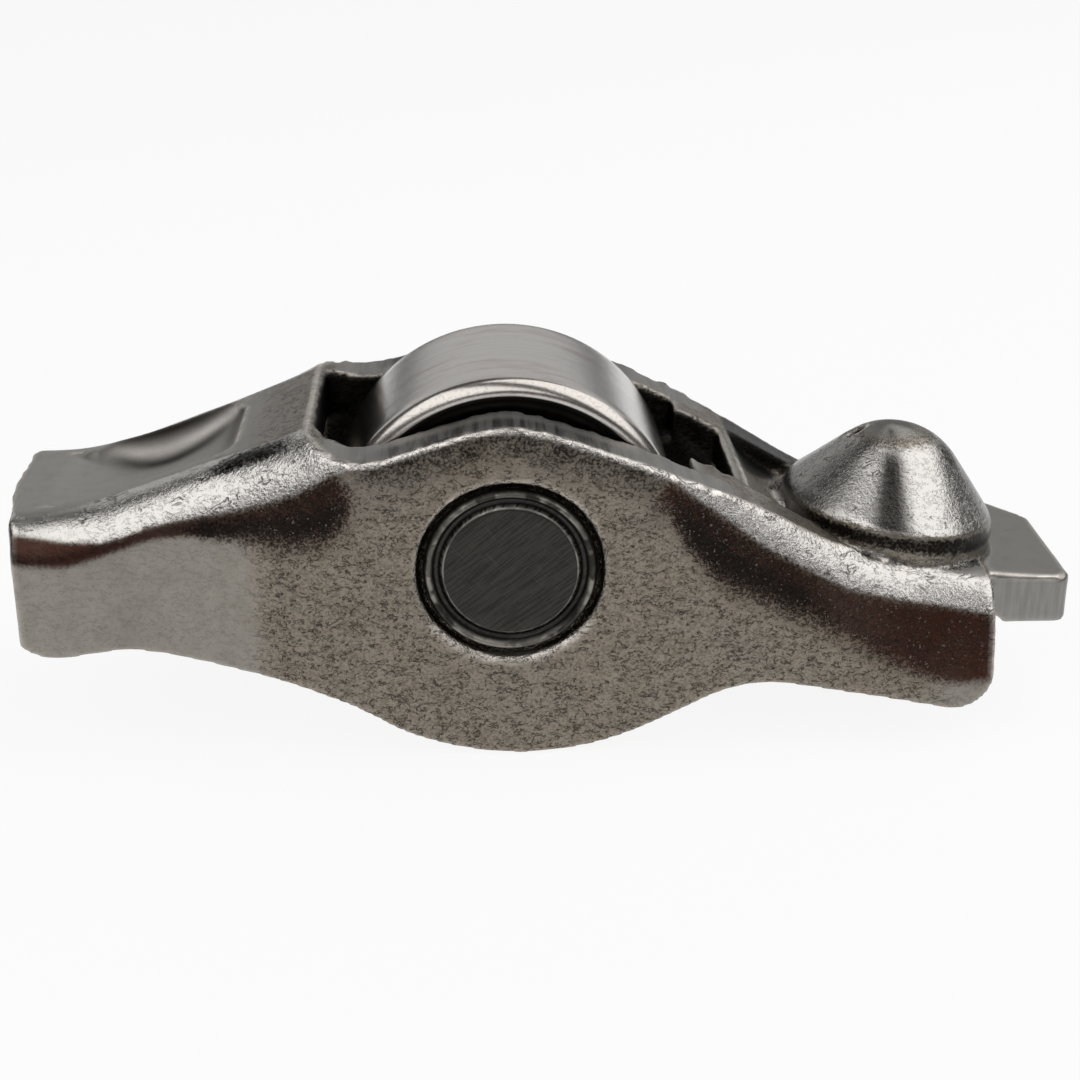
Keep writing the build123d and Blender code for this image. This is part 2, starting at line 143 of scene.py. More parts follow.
class ArmSettings(bpy.types.PropertyGroup):
    grain: FloatProperty(
        name="Surface grid", description="Edge length of the body's finished mesh",
        default=0.00026, unit="LENGTH", precision=5)
    edge_radius: FloatProperty(
        name="Edge radius", description="Round on the sheared edges and in the corners",
        default=0.00028, unit="LENGTH", precision=5)
    crease: FloatProperty(
        name="Crease", description="Faces that turn more than this make an edge",
        default=math.radians(32), subtype="ANGLE")
    smoothing: IntProperty(
        name="Smoothing", description="Passes that take the facets out of curved faces",
        default=8)
    ragged: FloatProperty(
        name="Ragged edges", description="How far the torn and burred edges wander",
        default=0.0002, unit="LENGTH", precision=5)
    grain_size: FloatProperty(
        name="Grain size", description="Distance between the specks of the surface",
        default=0.00018, unit="LENGTH", precision=5)
    wall_colour: FloatVectorProperty(
        name="Wall colour", description="Steel on the flat walls",
        default=(0.245, 0.212, 0.172), subtype="COLOR")
    end_colour: FloatVectorProperty(
        name="End colour", description="Smoother steel on the walls at the valve end",
        default=(0.29, 0.27, 0.24), subtype="COLOR")
    web_colour: FloatVectorProperty(
        name="Web colour", description="Smooth steel on the web",
        default=(0.42, 0.405, 0.38), subtype="COLOR")
    # the bends' colour is a painted highlight, standing in for the overhead light caught on them
    bend_highlight_colour: FloatVectorProperty(
        name="Bend colour", description="Steel polished by the die on the bends",
        default=(0.63, 0.605, 0.575), subtype="COLOR")
    # painted shade, tinted red-brown, for the band under the bends
    under_shading_colour: FloatVectorProperty(
        name="Scale colour", description="Red-brown scale left below the bends",
        default=(0.05, 0.022, 0.016), subtype="COLOR")
    # black, mostly painted shade: under the bends, in the oil hole and round the dome's foot
    black_and_shade_colour: FloatVectorProperty(
        name="Soot colour", description="Black scale in the corners",
        default=(0.012, 0.010, 0.009), subtype="COLOR")


class RollerSettings(bpy.types.PropertyGroup):
    segments: IntProperty(name="Segments", description="Steps round the roller", default=256)
    rim: FloatProperty(
        name="Rim rounding", description="Rounding of the roller's rims",
        default=0.00085, unit="LENGTH", precision=5)
    colour: FloatVectorProperty(
        name="Roller colour", description="Ground bearing steel",
        default=(0.60, 0.575, 0.55), subtype="COLOR")
    rim_colour: FloatVectorProperty(
        name="Rim colour", description="Tumbled rim", default=(0.62, 0.58, 0.54),
        subtype="COLOR")
    # painted shade: the roller's side faces are painted nearly black
    face_shade_colour: FloatVectorProperty(
        name="Face colour", description="Oil-darkened side faces",
        default=(0.008, 0.0075, 0.007), subtype="COLOR")


class AxleSettings(bpy.types.PropertyGroup):
    segments: IntProperty(name="Segments", description="Steps round the axle", default=192)
    colour: FloatVectorProperty(
        name="Axle colour", description="Steel of the axle ends",
        default=(0.05, 0.047, 0.043), subtype="COLOR")


class NeedleSettings(bpy.types.PropertyGroup):
    sides: IntProperty(name="Sides", description="Steps round a needle", default=24)
    rounding: FloatProperty(
        name="End rounding", description="Length over which a needle's ends are rounded",
        default=0.0006, unit="LENGTH", precision=5)


class StudioSettings(bpy.types.PropertyGroup):
    panel_light: FloatProperty(
        name="Panel light",
        description="Brightness of the soft panels overhead, in watts per square metre",
        default=4.4)
    back_light: FloatProperty(
        name="Back light",
        description="Brightness of the soft panel behind, in watts per square metre",
        default=1.7)
    fill: FloatProperty(
        name="Fill", description="Strength of the even surrounding light", default=0.06)
    floor_colour: FloatVectorProperty(
        name="Floor colour", description="Plain pale floor", default=(0.9, 0.9, 0.9),
        subtype="COLOR")
    focal_length: FloatProperty(
        name="Focal length", description="Camera lens in millimetres", default=60.67)


# ---------------------------------------------------------------- shader tools

class Value:
    """A number socket that can be used in Python sums."""

    def __init__(self, shader, socket):
        self.shader, self.socket = shader, socket

    def _math(self, operation, *others, clamp=False):
        node = self.shader.tree.nodes.new("ShaderNodeMath")
        node.operation = operation
        node.use_clamp = clamp
        for index, item in enumerate((self,) + others):
            self.shader.feed(node.inputs[index], item)
        return Value(self.shader, node.outputs[0])

    def _flip(self, operation, other):
        node = self.shader.tree.nodes.new("ShaderNodeMath")
        node.operation = operation
        self.shader.feed(node.inputs[0], other)
        self.shader.feed(node.inputs[1], self)
        return Value(self.shader, node.outputs[0])

    def __add__(self, other):
        return self._math("ADD", other)

    __radd__ = __add__

    def __sub__(self, other):
        return self._math("SUBTRACT", other)

    def __rsub__(self, other):
        return self._flip("SUBTRACT", other)

    def __mul__(self, other):
        return self._math("MULTIPLY", other)

    __rmul__ = __mul__

    def __truediv__(self, other):
        return self._math("DIVIDE", other)

    def __rtruediv__(self, other):
        return self._flip("DIVIDE", other)

    def clamped(self):
        return self._math("ADD", 0.0, clamp=True)

    def size(self):
        return self._math("ABSOLUTE")

    def root(self):
        return self._math("SQRT")

    def sine(self):
        return self._math("SINE")

    def cosine(self):
        return self._math("COSINE")

    def ramp(self, low, high):
        """0 below low, 1 above high, smooth between."""
        return self.shader.node(
            "ShaderNodeMapRange", {"interpolation_type": "SMOOTHSTEP", "clamp": True},
            {"Value": self, "From Min": low, "From Max": high, "To Min": 0.0, "To Max": 1.0}
        )["Result"]


class Nodes:
    """A node tree and the few ways this file adds nodes to it."""

    def __init__(self, tree):
        self.tree = tree

    def feed(self, socket, item):
        """Links a socket to a value or another socket, or sets it to a plain number or colour."""
        if isinstance(item, Value):
            self.tree.links.new(item.socket, socket)
        elif isinstance(item, bpy.types.NodeSocket):
            self.tree.links.new(item, socket)
        else:
            room = getattr(socket.default_value, "__len__", lambda: 1)()
            socket.default_value = (*item, 1.0) if room == 4 and len(item) == 3 else item

    def node(self, kind, settings=None, inputs=None):
        """Adds a node and gives its outputs by name: numbers as Value, others as sockets."""
        made = self.tree.nodes.new(kind)
        for key, item in (settings or {}).items():
            setattr(made, key, item)
        for key, item in (inputs or {}).items():
            socket = made.inputs[key] if isinstance(key, int) else next(
                s for s in made.inputs if s.name == key and s.enabled)
            self.feed(socket, item)
        return {
            s.name: Value(self, s) if s.type in ("VALUE", "INT") else s
            for s in made.outputs if s.enabled}


class Shader(Nodes):
    """A material with a principled surface."""

    def __init__(self, name):
        self.material = bpy.data.materials.new(name)
        self.material.use_nodes = True
        super().__init__(self.material.node_tree)
        self.surface = self.tree.nodes["Principled BSDF"]
        self.place = self.node("ShaderNodeTexCoord")["Object"]

    def turned(self, degrees):
        """The place on the piece, turned about the Y axis."""
        return self.node("ShaderNodeMapping", None, {
            "Vector": self.place, "Rotation": (0, math.radians(degrees), 0)})["Vector"]

    def noise(
            self, size, detail=3.0, roughness=0.5, stretch=(1, 1, 1), place=None,
            distortion=0.0):
        """Soft random pattern whose grain is size metres."""
        moved = self.node("ShaderNodeMapping", None, {
            "Vector": place or self.place,
            "Scale": tuple(1.0 / (size * s) for s in stretch)})["Vector"]
        return self.node("ShaderNodeTexNoise", None, {
            "Vector": moved, "Scale": 1.0, "Detail": detail, "Roughness": roughness,
            "Distortion": distortion})["Fac"]

    def wrinkles(self, size, width=0.03, share=0.5, stretch=(1, 1, 1)):
        """Short crooked strokes: the contour lines of one pattern, broken up by another."""
        line = self.noise(size, 2.0, 0.6, stretch, distortion=0.6)
        broken = self.noise(size * 1.3, 1.0, 0.5, stretch).ramp(share, share + 0.08)
        return (1 - (line - 0.5).size() / width).clamped() * broken

    def attribute(self, name):
        return self.node("ShaderNodeAttribute", {"attribute_name": name})["Fac"]

    def blend(self, factor, first, second):
        """Colour between first and second."""
        return self.node("ShaderNodeMix", {"data_type": "RGBA", "clamp_factor": True}, {
            "Factor": factor, "A": first, "B": second})["Result"]

    def bump(self, height, distance, strength=1.0, under=None):
        """A relief over the surface. A strength that is a Value scales its height."""
        if isinstance(strength, Value):
            height, strength = height * strength, 1.0
        inputs = {"Height": height, "Distance": distance, "Strength": strength}
        if under is not None:
            inputs["Normal"] = under
        return self.node("ShaderNodeBump", None, inputs)["Normal"]

    def finish(self, colour, roughness, metallic=1.0, normal=None):
        """Feeds the surface and gives the finished material."""
        self.feed(self.surface.inputs["Base Color"], colour)
        self.feed(self.surface.inputs["Roughness"], roughness)
        self.feed(self.surface.inputs["Metallic"], metallic)
        if normal is not None:
            self.feed(self.surface.inputs["Normal"], normal)
        return self.material


# ---------------------------------------------------------------- mesh tools

def new_piece(name, mesh, material):
    """Puts a mesh in the scene with one material."""
    piece = bpy.data.objects.new(name, mesh)
    bpy.context.scene.collection.objects.link(piece)
    mesh.materials.clear()
    mesh.materials.append(material)
    return piece


def applied(piece):
    """Replaces a piece's mesh by what its modifiers make of it."""
    bpy.context.view_layer.update()
    seen = piece.evaluated_get(bpy.context.evaluated_depsgraph_get())
    mesh = bpy.data.meshes.new_from_object(seen)
    piece.modifiers.clear()
    piece.data = mesh
    return mesh


def coordinates(mesh):
    found = np.zeros(len(mesh.vertices) * 3)
    mesh.vertices.foreach_get("co", found)
    return found.reshape(-1, 3)


def normals(mesh):
    found = np.zeros(len(mesh.vertices) * 3, np.float32)
    mesh.vertices.foreach_get("normal", found)
    return found.reshape(-1, 3).astype(float)


def edge_pairs(mesh):
    """The two vertex numbers of every edge."""
    pairs = np.zeros(len(mesh.edges) * 2, np.int64)
    mesh.edges.foreach_get("vertices", pairs)
    return pairs.reshape(-1, 2)


def relaxed(values, pairs, passes):
    """Evens out numbers or places over a mesh. Each pass draws in and then lets out again,
    so that nothing shrinks."""
    draw_in, let_out = 0.5, -0.52
    values = np.array(values, float)
    flat = values.reshape(len(values), -1)
    count = np.bincount(pairs.ravel(), minlength=len(values)).clip(1)
    for amount in (draw_in, let_out) * passes:
        for column in range(flat.shape[1]):
            row = flat[:, column]
            total = np.bincount(pairs[:, 0], row[pairs[:, 1]], len(row))
            total += np.bincount(pairs[:, 1], row[pairs[:, 0]], len(row))
            flat[:, column] += amount * (total / count - row)
    return flat.reshape(values.shape)


def store(mesh, name, values):
    """Keeps a number for each vertex, for a material to read."""
    layer = mesh.attributes.new(name, "FLOAT", "POINT")
    layer.data.foreach_set("value", np.asarray(values, np.float32))


def step(values, low, high):
    """0 below low, 1 above high, smooth between."""
    t = np.clip((values - low) / (high - low), 0, 1)
    return t * t * (3 - 2 * t)


def ridge(away, width):
    """1 where away is 0, fading out over a width on both sides."""
    return np.exp(-(away / width) ** 2)


def blot(place, middle, size):
    """A soft spot that is 1 at its middle and fades out beyond its size."""
    reach = sum(((p - m) / s) ** 2 for p, m, s in zip(place, middle, size))
    return np.exp(-reach ** 2)


def on_line(x, line):
    """Height of a line seen from the side, for a place along the arm, all in millimetres."""
    return np.interp(x, *zip(*line))


def wander(place, size):
    """Smooth random numbers about 0 over a mesh, in waves of about size metres."""
    return np.array([noise.noise(Vector(p) / size) for p in place])


def crease_samples(welded, angle, spacing):
    """Points along the creases of a welded mesh: place, both face normals, direction, and
    1 for an outer crease or -1 for an inner one."""
    points, first, second, along, side = [], [], [], [], []
    for edge in welded.edges:
        if len(edge.link_faces) != 2 or edge.calc_face_angle(0.0) < angle:
            continue
        start, end = (v.co for v in edge.verts)
        steps = max(1, math.ceil((end - start).length / spacing))
        for i in range(steps):
            points.append(start.lerp(end, (i + 0.5) / steps))
            first.append(edge.link_faces[0].normal)
            second.append(edge.link_faces[1].normal)
            along.append((end - start).normalized())
            side.append(1 if edge.is_convex else -1)
    return points, np.array(first), np.array(second), np.array(along), np.array(side)


def dots(first, second):
    """Dot product of each row of one array with the same row of another."""
    return np.einsum("ij,ij->i", first, second)


def drawn_on(mesh, welded, radius, crease, passes):
    """Draws a dense mesh on to a welded one, with its creases rounded to a radius. Gives each
    vertex's distance to the nearest crease, and whether that is an outer one."""
    points, first, second, along, side = crease_samples(welded, crease, radius / 4)
    tree = KDTree(len(points))
    for index, point in enumerate(points):
        tree.insert(point, index)
    tree.balance()
    surface = BVHTree.FromBMesh(welded)
    place = coordinates(mesh)
    found = [tree.find(p) for p in place]
    nearest = np.array([f[1] for f in found])
    corner = np.array([f[0] for f in found])
    away = np.array([f[2] for f in found])
    flat = np.array([surface.find_nearest(p)[0] for p in place])
    n1, n2, t, outer = first[nearest], second[nearest], along[nearest], side[nearest]
    # the round's centre lies on the line that halves the crease
    turn = dots(n1, n2).clip(-0.95, 1)
    half_cos = np.sqrt((1 + turn) / 2)
    middle = (n1 + n2) / np.sqrt(2 + 2 * turn)[:, None]
    centre = corner - (outer * radius / half_cos)[:, None] * middle
    arm = place - centre
    arm -= dots(arm, t)[:, None] * t
    arm /= np.linalg.norm(arm, axis=1)[:, None].clip(1e-9)
    facing = outer * dots(arm, middle)
    reach = radius * np.sqrt((1 - turn) / (1 + turn))
    on_round = (facing > half_cos) & (away < 1.5 * reach)
    slide = dots(place - centre, t)[:, None] * t
    place = np.where(on_round[:, None], centre + slide + radius * arm, flat)
    place = relaxed(place, edge_pairs(mesh), passes)
    mesh.vertices.foreach_set("co", place.ravel())
    mesh.update()
    return away, outer


def turned(name, profile, segments):
    """A closed ring of (radius, y) points turned about the Y axis."""
    made = bmesh.new()
    rings = []
    for turn in range(segments):
        angle = 2 * math.pi * turn / segments
        rings.append([
            made.verts.new((r * math.sin(angle), y, r * math.cos(angle))) for r, y in profile])
    for turn in range(segments):
        here, after = rings[turn], rings[(turn + 1) % segments]
        for i in range(len(profile)):
            j = (i + 1) % len(profile)
            made.faces.new((here[i], after[i], after[j], here[j]))
    bmesh.ops.remove_doubles(made, verts=made.verts, dist=1e-7)
    bmesh.ops.recalc_face_normals(made, faces=made.faces)
    mesh = bpy.data.meshes.new(name)
    made.to_mesh(mesh)
    made.free()
    for face in mesh.polygons:
        face.use_smooth = True
    return mesh


def arc(centre, radius, start, end, steps):
    """Points on an arc in the (radius, y) plane, angles in degrees from the radius axis."""
    angles = [math.radians(start + (end - start) * i / steps) for i in range(steps + 1)]
    return [
        (centre[0] + radius * math.cos(angle), centre[1] + radius * math.sin(angle))
        for angle in angles]


def needle_row():
    """Geometry tree for needles set evenly round the Y axis. Gives the tree and its inputs'
    identifiers."""
    tree = bpy.data.node_groups.new("needle_row", "GeometryNodeTree")
    kinds = {
        "Count": "Int", "Sides": "Int", "Orbit": "Float", "Radius": "Float", "Length": "Float",
        "Rounding": "Float", "Material": "Material"}
    inputs = {
        name: tree.interface.new_socket(
            name, in_out="INPUT", socket_type="NodeSocket" + kind).identifier
        for name, kind in kinds.items()}
    tree.interface.new_socket("Geometry", in_out="OUTPUT", socket_type="NodeSocketGeometry")
    g = Nodes(tree)
    given = g.node("NodeGroupInput")
    # one needle, its rings drawn together towards both ends
    needle = g.node("GeometryNodeMeshCylinder", {"fill_type": "NGON"}, {
        "Vertices": given["Sides"], "Side Segments": 24, "Radius": given["Radius"],
        "Depth": given["Length"]})
    at = g.node(
        "ShaderNodeSeparateXYZ", None, {0: g.node("GeometryNodeInputPosition")["Position"]})
    half = given["Length"] * 0.5
    along = (at["Z"] / half * (math.pi / 2)).sine() * half
    into_end = ((along.size() - half + given["Rounding"]) / given["Rounding"]).clamped()
    thin = (1 - into_end * into_end * 0.8).root()
    drawn_in = g.node("ShaderNodeCombineXYZ", None, {
        "X": at["X"] * thin, "Y": at["Y"] * thin, "Z": along})["Vector"]
    shaped = g.node("GeometryNodeSetPosition", None, {
        "Geometry": needle["Mesh"], "Position": drawn_in})
    smooth = g.node("GeometryNodeSetShadeSmooth", None, {0: shaped["Geometry"]})
    # set out at equal angles
    angle = (g.node("GeometryNodeInputIndex")["Index"] + 0.5) * (2 * math.pi) / given["Count"]
    spot = g.node("ShaderNodeCombineXYZ", None, {
        "X": angle.sine() * given["Orbit"], "Z": angle.cosine() * given["Orbit"]})["Vector"]
    points = g.node("GeometryNodePoints", None, {"Count": given["Count"], "Position": spot})
    placed = g.node("GeometryNodeInstanceOnPoints", None, {
        "Points": next(iter(points.values())), "Instance": next(iter(smooth.values())),
        "Rotation": (math.pi / 2, 0, 0)})
    real = g.node("GeometryNodeRealizeInstances", None, {0: placed["Instances"]})
    dressed = g.node("GeometryNodeSetMaterial", None, {
        "Geometry": next(iter(real.values())), "Material": given["Material"]})
    g.node("NodeGroupOutput", None, {"Geometry": dressed["Geometry"]})
    return tree, inputs


# ---------------------------------------------------------------- finishes

def pressed_steel(settings):
    """Grained steel: painted highlights on the bends, painted shade under them, black marks, sheared
    edges and edges bright from wear and painted highlight.
    """
    brown_mottle, grey_cloud = (0.15, 0.123, 0.09), (0.19, 0.19, 0.185)
    pale_grit, dark_grit = (0.38, 0.34, 0.285), (0.06, 0.05, 0.04)
    web_mottle, flank_shade = (0.30, 0.28, 0.25), (0.045, 0.042, 0.038)
    recess_shade, recess_gleam = (0.035, 0.03, 0.025), (0.85, 0.80, 0.75)
    bend_pits, shading_specks = (0.04, 0.035, 0.03), (0.3, 0.25, 0.22)
    sheared, shear_lines = (0.31, 0.30, 0.285), (0.1, 0.095, 0.09)
    broken_away, bright_edge = (0.03, 0.028, 0.026), (0.86, 0.80, 0.73)
    stroke_black, dent_black = (0.018, 0.015, 0.012), (0.03, 0.025, 0.02)
    unlit_inside = (0.010, 0.009, 0.008)

    s = Shader("pressed_steel")
    top, bend_highlight, under, edge, cut, inner, coarse = (
        s.attribute(n) for n in ("top", "bend_highlight", "under", "edge", "cut", "inner", "coarse"))
    black_and_shade, flank_highlight, shade, crescent, fracture, dull_shade = (
        s.attribute(n) for n in ("black_and_shade", "flank_highlight", "shade", "crescent", "fracture", "dull_shade"))
    size = settings.grain_size
    broad = s.noise(0.006, 3)
    mottle = s.noise(0.0011, 4, 0.65)
    fine = s.noise(size, 2, 0.6, distortion=0.25)
    crisp = fine.ramp(0.38, 0.62) - 0.5
    stroke = s.wrinkles(size * 1.7, 0.06, 0.44, (1.4, 1.0, 0.85))
    dents = s.wrinkles(0.0009, 0.05, 0.56, (1.6, 1.0, 1.0))
    # the borders of the painted highlight and painted shade bands are broken up by the grain
    gritty = 0.25 + 0.75 * coarse
    shine = (bend_highlight + crisp * 0.28 * gritty).ramp(0.2, 0.7)
    shading = (under + crisp * 0.45 * gritty).ramp(0.12, 0.88)
    black = (black_and_shade + crisp * 0.4 + (mottle - 0.5) * 0.5).ramp(0.15, 0.95)
    # flat walls: mottled, cloudy and gritty
    colour = s.blend(coarse, settings.end_colour, settings.wall_colour)
    colour = s.blend(mottle.ramp(0.35, 0.75) * (0.15 + 0.27 * coarse), colour, brown_mottle)
    colour = s.blend(broad.ramp(0.45, 0.7) * 0.25, colour, grey_cloud)
    grit = crisp * (1 - top) * (0.12 + 0.88 * coarse)
    colour = s.blend((grit * 0.55).clamped(), colour, pale_grit)
    colour = s.blend((grit * -0.6).clamped(), colour, dark_grit)
    # web, painted highlight on the bends, painted shade under them, and black
    colour = s.blend(top, colour, settings.web_colour)
    colour = s.blend(top * mottle.ramp(0.4, 0.8) * 0.25, colour, web_mottle)
    # painted highlight on the bends and on the dome's sides
    colour = s.blend(shine, colour, settings.bend_highlight_colour)
    # painted shade on the dome's sides; the tongue a little darker
    colour = s.blend(dull_shade * (flank_highlight + cut + top).clamped(), colour, flank_shade)
    # painted shade under the bends, tinted red-brown
    colour = s.blend(shading * (0.8 + 0.3 * broad), colour, settings.under_shading_colour)
    # painted shade and a painted highlight in the recess
    colour = s.blend(shade, colour, recess_shade)
    colour = s.blend(crescent, colour, recess_gleam)
    # black, mostly painted shade
    colour = s.blend(black, colour, settings.black_and_shade_colour)
    pits = shine * (1 - fine.ramp(0.28, 0.36)) * (0.25 + 0.35 * coarse)
    colour = s.blend(pits, colour, bend_pits)
    colour = s.blend(shading * fine.ramp(0.6, 0.72) * coarse * 0.5, colour, shading_specks)
    # cut edges, and edges made bright partly by wear and partly by a painted highlight
    streak = s.noise(0.0004, 3, 0.6, stretch=(1, 12, 12)).ramp(0.38, 0.66)
    colour = s.blend(cut * 0.9, colour, sheared)
    colour = s.blend(cut * (streak * 0.25 + dull_shade * 0.4), colour, shear_lines)
    colour = s.blend(fracture * (0.55 + 0.45 * streak), colour, broken_away)
    # bright edges: partly wear, partly painted highlight
    wear_and_glint = edge * (0.5 + 0.5 * mottle.ramp(0.35, 0.55)) * 0.95
    colour = s.blend(wear_and_glint, colour, bright_edge)
    marks = stroke * (0.12 + 0.88 * coarse) * (1 - 0.8 * top) * (1 - cut) * (1 - 0.6 * shine)
    marks = marks.clamped()
    colour = s.blend(marks * 0.9, colour, stroke_black)
    colour = s.blend(dents * shine * 0.7, colour, dent_black)
    colour = s.blend(inner, colour, unlit_inside)
    roughness = 0.28 + 0.12 * mottle + 0.16 * top - 0.08 * shine
    normal = s.bump(s.noise(0.0012, 2), 0.00014, 0.3 * (1 - 0.7 * top))
    grain = (0.2 + 0.8 * coarse) * (1 - 0.85 * top) * (1 - 0.45 * shine)
    normal = s.bump(fine, 0.00007, grain, normal)
    normal = s.bump(1 - marks - dents * shine, 0.00004, 0.6, normal)
    return s.finish(colour, roughness, normal=normal)


def ground_steel(settings):
    """Ground roller steel: fine lines round it, tumbled rims and side faces painted nearly black as
    shade.
    """
    warm_stain, grey_line = (0.40, 0.31, 0.27), (0.28, 0.27, 0.26)
    rim_speck, turning_ring = (0.16, 0.14, 0.125), (0.05, 0.047, 0.045)

    s = Shader("ground_roller_steel")
    rim, face, radius = (s.attribute(n) for n in ("rim", "face", "radius"))
    lines = s.noise(0.0006, 3, 0.6, stretch=(14, 0.12, 14))
    warm = s.noise(0.0035, 4, 0.6, stretch=(1.6, 0.45, 1.6))
    colour = s.blend(warm.ramp(0.48, 0.75) * 0.7, settings.colour, warm_stain)
    colour = s.blend(lines.ramp(0.4, 0.75) * 0.3, colour, grey_line)
    colour = s.blend(rim, colour, settings.rim_colour)
    speck = s.noise(0.00018, 2, 0.6).ramp(0.52, 0.66)
    colour = s.blend(speck * rim * 0.2, colour, rim_speck)
    rings = ((radius * 14).sine() * 0.5 + 0.5) * s.noise(0.002, 2)
    # painted shade on the side faces, with faint turning rings
    face_shade_colour = s.blend(rings * 0.6, settings.face_shade_colour, turning_ring)
    colour = s.blend(face, colour, face_shade_colour)
    normal = s.bump(lines, 0.00001, 0.35)
    normal = s.bump(s.noise(0.00015, 2), 0.000012, 0.3, normal)
    return s.finish(colour, 0.15 + 0.1 * lines + 0.03 * rim + 0.2 * face, normal=normal)


def axle_steel(settings):
    """Dark scratched axle ends with a staked bead and a chamfer painted light as a highlight."""
    scratch_black, cross_scratch = (0.028, 0.026, 0.024), (0.08, 0.075, 0.068)
    bead_steel, bead_black = (0.26, 0.245, 0.22), (0.02, 0.018, 0.016)
    chamfer_highlight = (0.45, 0.43, 0.39)

    s = Shader("staked_axle_steel")
    ring, chamfer = s.attribute("edge"), s.attribute("chamfer")
    scratch = s.noise(0.0007, 3, 0.7, stretch=(2.5, 1, 0.12), place=s.turned(38))
    across = s.noise(0.0008, 3, 0.7, stretch=(2.2, 1, 0.12), place=s.turned(-47))
    mottle = s.noise(0.0008, 3)
    colour = s.blend(scratch.ramp(0.42, 0.6) * 0.8, settings.colour, scratch_black)
    colour = s.blend(across.ramp(0.52, 0.72) * 0.4, colour, cross_scratch)
    wear_and_glint = mottle.ramp(0.45, 0.62)
    colour = s.blend(ring * (0.35 + 0.65 * wear_and_glint), colour, bead_steel)
    colour = s.blend(ring * s.noise(0.0014, 3).ramp(0.5, 0.6) * 0.85, colour, bead_black)
    # painted highlight on the chamfer, all round
    colour = s.blend(chamfer * (0.4 + 0.6 * wear_and_glint), colour, chamfer_highlight)
    normal = s.bump(scratch + across, 0.00001, 0.3)
    normal = s.bump(mottle, 0.00004, 0.5 * ring, normal)
    return s.finish(colour, 0.34 + 0.14 * scratch, normal=normal)


def needle_steel():
    """Needle steel with faint lines along it."""
    s = Shader("needle_bearing_steel")
    lines = s.noise(0.0003, 2, 0.5, stretch=(1, 20, 1))
    colour = s.blend(lines, (0.45, 0.44, 0.43), (0.6, 0.59, 0.58))
    return s.finish(colour, 0.18 + 0.1 * lines)


def floor_finish(settings):
    """A pale floor that keeps the shadow, and looks nearly white to the camera and in metal."""
    s = Shader("plain_floor")
    s.finish(settings.floor_colour, 0.9, metallic=0.0)
    s.surface.inputs["Specular IOR Level"].default_value = 0.1
    rays = s.node("ShaderNodeLightPath")
    seen = rays["Is Camera Ray"] + rays["Is Glossy Ray"] + rays["Is Transmission Ray"]
    white = s.node("ShaderNodeEmission", None, {"Strength": 1.0})["Emission"]
    mixed = s.node("ShaderNodeMixShader", None, {
        0: seen.clamped() * 0.9, 1: s.surface.outputs[0], 2: white})["Shader"]
    out = next(n for n in s.tree.nodes if n.type == "OUTPUT_MATERIAL")
    s.feed(out.inputs["Surface"], mixed)
    return s.material


# ---------------------------------------------------------------- marks on the pressed arm

class PressedFaces:
    """Where the pressed arm's vertices are, in millimetres, and which way they face."""

    def __init__(self, mesh):
        self.x, self.y, self.z = (coordinates(mesh) / MM).T
        self.side = np.abs(self.y)
        self.along, self.across, self.upward = normals(mesh).T
        self.tilt = np.degrees(np.arctan2(self.upward, np.hypot(self.across, self.along)))
        self.band_top = on_line(self.x, BAND_TOP)
        self.band_bottom = on_line(self.x, BAND_BOTTOM)
        # the dome, and what faces out from the rest of the arm
        self.above_foot = self.z - DOME_FOOT_Z + DOME_FOOT_FALL * (self.x - DOME_X)
        self.dome = 1 - step(np.hypot(self.x - DOME_X, self.y), *DOME_SKIRT)
        self.dome *= step(self.above_foot, -0.6, -0.4)
        self.outside = step(self.side, 3.4, 4.2) * (1 - self.dome)
        self.outside *= step(self.across * np.sign(self.y), 0.0, 0.1)
        self.outside *= 1 - step(self.x, 27.4, 27.9)


def recess_field(x, y):
    """Where the recess in the web lies, and how its far wall bows towards its middle."""
    start, length = RECESS_BOW
    recess = step(RECESS_HALF - np.abs(y), 0, 0.4) * step(x, *RECESS_START)
    recess *= 1 - step(x, *RECESS_END)
    return recess, np.sin(math.pi * np.clip((x - start) / length, 0, 1))


def recess_swell(x, y):
    """The rounded swell of the recess along its far wall, from 0 to 1."""
    recess, curve = recess_field(x, y)
    return ridge(y - RECESS_WALL + 0.8 * curve, 0.85) * np.sqrt(curve) * recess


def bend_marks(f):
    """The painted highlight on the bends, and the band of painted shade under them."""
    soft = 0.3 + 1.1 * step(f.x, -18.0, -13.0) * (1 - 0.7 * step(f.x, 20.0, 25.0))
    above_dark = step((f.z - f.band_top) / (0.35 + 0.3 * soft), -0.6, 1.0)
    bend_highlight = above_dark * (1 - step(f.tilt, 66, 80)) * f.outside * step(f.tilt, 8, 16)
    under = (1 - above_dark) * step((f.z - f.band_bottom) / soft, -1.0, 1.3) * f.outside
    under *= step(np.abs(f.x - FLAT_X), 6.4, 9.6)
    return bend_highlight, under


def cut_marks(f):
    """The sheared faces, and the strip along them that broke away instead."""
    beside = step(f.x, -10.4, -9.4) * (1 - step(f.x, 12, 13)) * step(f.side, 5.7, 6.2)
    cut = step(f.upward, 0.75, 0.9) * beside * step(f.z, 2.0, 3.0)
    end = step(np.abs(f.along), 0.8, 0.95)
    tongue = step(f.x, *TONGUE_START) * (1 - step(f.upward, 0.3, 0.6))
    fracture = cut * step(f.side, 6.9, 7.7) * (1 - step(np.abs(f.x - FLAT_X), 5, 8))
    return np.maximum.reduce([cut, end, tongue]), fracture


